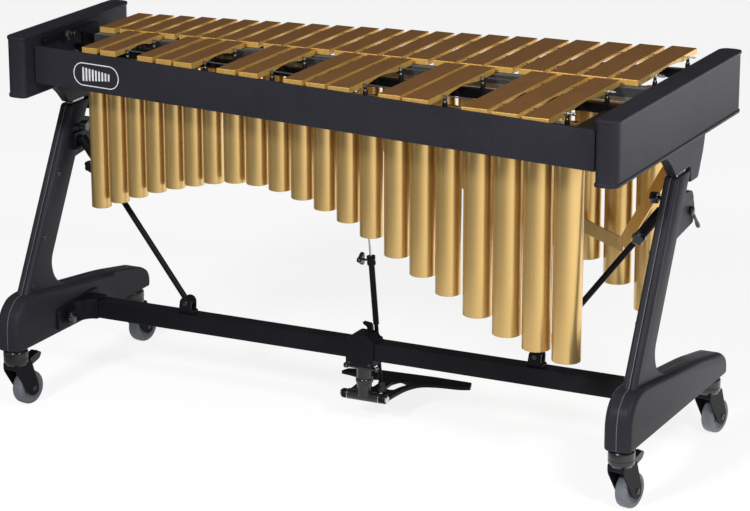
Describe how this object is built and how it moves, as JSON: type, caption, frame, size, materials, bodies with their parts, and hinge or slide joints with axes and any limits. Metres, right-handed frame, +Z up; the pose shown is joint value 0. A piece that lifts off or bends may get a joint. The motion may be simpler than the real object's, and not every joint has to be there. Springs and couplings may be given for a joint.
{
  "type": "vibraphone",
  "caption": "Keyboard percussion instrument: two rows of tuned metal bars over resonator tubes with fans, a damper pedal, and a height-adjustable stand on casters.",
  "frame": {"origin": "on the floor, midway between the four casters' swivel axes", "axes": "+X along the keyboard towards the low notes, +Y towards the player's side, +Z up"},
  "size_m": [1.482, 0.7622, 0.825],
  "materials": {
    "gold_bar": "satin",
    "champagne_tube": "satin",
    "charcoal_coat": "matte",
    "black_coat": "matte",
    "black_plastic": "satin",
    "black_rubber": "matte",
    "grey_tyre": "matte",
    "plated_steel": "polished",
    "aluminium_post": "satin",
    "aluminium_bar": "satin",
    "grey_felt": "matte"
  },
  "bodies": {
    "stand": {"leg_high_outer_shell": "charcoal_coat", "leg_high_inner_shell": "charcoal_coat", "leg_low_outer_shell": "charcoal_coat", "leg_low_inner_shell": "charcoal_coat", "base_beam": "black_coat", "beam_bracket_high": "black_coat", "beam_bracket_low": "black_coat", "brace_clevis_high": "black_coat", "brace_clevis_low": "black_coat", "brace_rod_high": "black_coat", "brace_rod_low": "black_coat", "brace_sleeve_high": "black_coat", "brace_sleeve_low": "black_coat", "pedal_bracket": "black_coat", "pedal_shaft": "plated_steel"},
    "upper_frame": {"end_block_high": "charcoal_coat", "end_block_low": "charcoal_coat", "front_rail": "charcoal_coat", "natural_bearer_front": "black_coat", "natural_bearer_rear": "black_coat", "accidental_bearer_front": "black_coat", "accidental_bearer_rear": "black_coat", "natural_bars": "gold_bar", "accidental_bars": "gold_bar", "natural_resonators": "champagne_tube", "accidental_resonators": "champagne_tube", "resonator_strap": "champagne_tube", "inner_post_high": "aluminium_post", "inner_post_low": "aluminium_post", "fan_motor": "black_coat", "natural_fan_belt": "black_rubber", "accidental_fan_belt": "black_rubber"},
    "natural_fan": {"natural_fan_shaft": "plated_steel"},
    "accidental_fan": {"accidental_fan_shaft": "plated_steel"},
    "motor_drive": {"motor_pulley": "black_plastic"},
    "damper": {"damper_bar": "aluminium_bar", "damper_felt": "grey_felt"},
    "damper_link": {"damper_rod": "plated_steel"},
    "pedal": {"pedal": "black_coat"},
    "pedal_link": {"pedal_boot": "black_rubber", "pedal_rod": "black_coat"},
    "damper_extension": {"damper_tube": "black_coat"},
    "wing_screw": {"damper_wing_screw": "black_plastic"},
    "height_lever_high": {"height_lever_high": "plated_steel"},
    "lock_knob_high": {"lock_knob_high": "black_plastic"},
    "brace_knob_high": {"brace_knob_high": "black_plastic"},
    "caster_front_high": {"caster_fork_front_high": "black_plastic"},
    "wheel_front_high": {"caster_wheel_front_high": "grey_tyre"},
    "brake_front_high": {"brake_lever_front_high": "black_plastic"},
    "caster_rear_high": {"caster_fork_rear_high": "black_plastic"},
    "wheel_rear_high": {"caster_wheel_rear_high": "grey_tyre"},
    "height_lever_low": {"height_lever_low": "plated_steel"},
    "lock_knob_low": {"lock_knob_low": "black_plastic"},
    "brace_knob_low": {"brace_knob_low": "black_plastic"},
    "caster_front_low": {"caster_fork_front_low": "black_plastic"},
    "wheel_front_low": {"caster_wheel_front_low": "grey_tyre"},
    "brake_front_low": {"brake_lever_front_low": "black_plastic"},
    "caster_rear_low": {"caster_fork_rear_low": "black_plastic"},
    "wheel_rear_low": {"caster_wheel_rear_low": "grey_tyre"}
  },
  "joints": [
    {"name": "height_slide", "type": "slide", "parent": "stand", "child": "upper_frame", "axis": [0, 0.4683, 0.8836], "range_m": [0, 0.1]},
    {"name": "motor_spin", "type": "hinge", "parent": "upper_frame", "child": "motor_drive", "pos_m": [-0.668, 0.052, 0.668], "axis": [1, 0, 0], "continuous": true},
    {"name": "natural_fan_spin", "type": "hinge", "parent": "upper_frame", "child": "natural_fan", "pos_m": [-0.6715, 0.11957, 0.752], "axis": [0.996, 0.0896, 0], "continuous": true},
    {"name": "accidental_fan_spin", "type": "hinge", "parent": "upper_frame", "child": "accidental_fan", "pos_m": [-0.6645, -0.04199, 0.752], "axis": [0.9973, -0.0728, 0], "continuous": true},
    {"name": "pedal_hinge", "type": "hinge", "parent": "stand", "child": "pedal", "pos_m": [0.018, 0, 0.06], "axis": [-1, 0, 0], "range_deg": [0, 8], "stiffness_Nm_per_rad": 9, "springref_deg": -17.19},
    {"name": "pedal_link_slide", "type": "slide", "parent": "stand", "child": "pedal_link", "axis": [0, 0, -1], "range_m": [0, 0.006]},
    {"name": "damper_slide", "type": "slide", "parent": "upper_frame", "child": "damper", "axis": [0, 0, -1], "range_m": [0, 0.006]},
    {"name": "damper_extension_tilt", "type": "hinge", "parent": "pedal_link", "child": "damper_extension", "pos_m": [0.02499, 0.04332, 0.211], "axis": [-0.9826, 0.164, -0.0869], "range_deg": [0, 5]},
    {"name": "damper_rod_tilt", "type": "hinge", "parent": "damper", "child": "damper_link", "pos_m": [-0.0226, 0.049, 0.7597], "axis": [-0.9826, 0.164, -0.0869], "range_deg": [0, 5]},
    {"name": "wing_screw_turn", "type": "hinge", "parent": "damper_extension", "child": "wing_screw", "pos_m": [0.00287, 0.04479, 0.353], "axis": [-1, 0, 0], "range_deg": [0, 360]},
    {"name": "height_lever_high_turn", "type": "hinge", "parent": "stand", "child": "height_lever_high", "pos_m": [-0.712, 0.074, 0.545], "axis": [1, 0, 0], "range_deg": [0, 75]},
    {"name": "lock_knob_high_turn", "type": "hinge", "parent": "stand", "child": "lock_knob_high", "pos_m": [-0.6967, 0.00095, 0.585], "axis": [1, 0, 0], "range_deg": [0, 360]},
    {"name": "brace_knob_high_turn", "type": "hinge", "parent": "stand", "child": "brace_knob_high", "pos_m": [-0.64628, -0.00259, 0.50156], "axis": [-0.1281, -0.9884, -0.0816], "range_deg": [0, 360]},
    {"name": "caster_front_high_swivel", "type": "hinge", "parent": "stand", "child": "caster_front_high", "pos_m": [-0.712, -0.246, 0.115], "axis": [0, 0, 1], "continuous": true},
    {"name": "caster_front_high_roll", "type": "hinge", "parent": "caster_front_high", "child": "wheel_front_high", "pos_m": [-0.7061, -0.21252, 0.0375], "axis": [0.9848, -0.1736, 0], "continuous": true},
    {"name": "brake_front_high_press", "type": "hinge", "parent": "caster_front_high", "child": "brake_front_high", "pos_m": [-0.70575, -0.21055, 0.097], "axis": [-0.9848, 0.1736, 0], "range_deg": [0, 12]},
    {"name": "caster_rear_high_swivel", "type": "hinge", "parent": "stand", "child": "caster_rear_high", "pos_m": [-0.712, 0.246, 0.115], "axis": [0, 0, 1], "continuous": true},
    {"name": "caster_rear_high_roll", "type": "hinge", "parent": "caster_rear_high", "child": "wheel_rear_high", "pos_m": [-0.7061, 0.27948, 0.0375], "axis": [0.9848, -0.1736, 0], "continuous": true},
    {"name": "height_lever_low_turn", "type": "hinge", "parent": "stand", "child": "height_lever_low", "pos_m": [0.712, 0.074, 0.545], "axis": [1, 0, 0], "range_deg": [0, 75]},
    {"name": "lock_knob_low_turn", "type": "hinge", "parent": "stand", "child": "lock_knob_low", "pos_m": [0.6967, 0.00095, 0.585], "axis": [-1, 0, 0], "range_deg": [0, 360]},
    {"name": "brace_knob_low_turn", "type": "hinge", "parent": "stand", "child": "brace_knob_low", "pos_m": [0.64628, -0.00259, 0.50156], "axis": [0.1281, -0.9884, -0.0816], "range_deg": [0, 360]},
    {"name": "caster_front_low_swivel", "type": "hinge", "parent": "stand", "child": "caster_front_low", "pos_m": [0.712, -0.246, 0.115], "axis": [0, 0, 1], "continuous": true},
    {"name": "caster_front_low_roll", "type": "hinge", "parent": "caster_front_low", "child": "wheel_front_low", "pos_m": [0.7179, -0.21252, 0.0375], "axis": [0.9848, -0.1736, 0], "continuous": true},
    {"name": "brake_front_low_press", "type": "hinge", "parent": "caster_front_low", "child": "brake_front_low", "pos_m": [0.71825, -0.21055, 0.097], "axis": [-0.9848, 0.1736, 0], "range_deg": [0, 12]},
    {"name": "caster_rear_low_swivel", "type": "hinge", "parent": "stand", "child": "caster_rear_low", "pos_m": [0.712, 0.246, 0.115], "axis": [0, 0, 1], "continuous": true},
    {"name": "caster_rear_low_roll", "type": "hinge", "parent": "caster_rear_low", "child": "wheel_rear_low", "pos_m": [0.7179, 0.27948, 0.0375], "axis": [0.9848, -0.1736, 0], "continuous": true}
  ],
  "couplings": [
    {"joint": "motor_spin", "follows": "natural_fan_spin", "ratio": 1},
    {"joint": "accidental_fan_spin", "follows": "natural_fan_spin", "ratio": 1},
    {"joint": "pedal_link_slide", "follows": "pedal_hinge", "m_per_rad": 0.0385},
    {"joint": "damper_slide", "follows": "pedal_hinge", "m_per_rad": 0.0385},
    {"joint": "damper_extension_tilt", "follows": "height_slide", "rad_per_m": 0.745},
    {"joint": "damper_rod_tilt", "follows": "height_slide", "rad_per_m": 0.745}
  ]
}
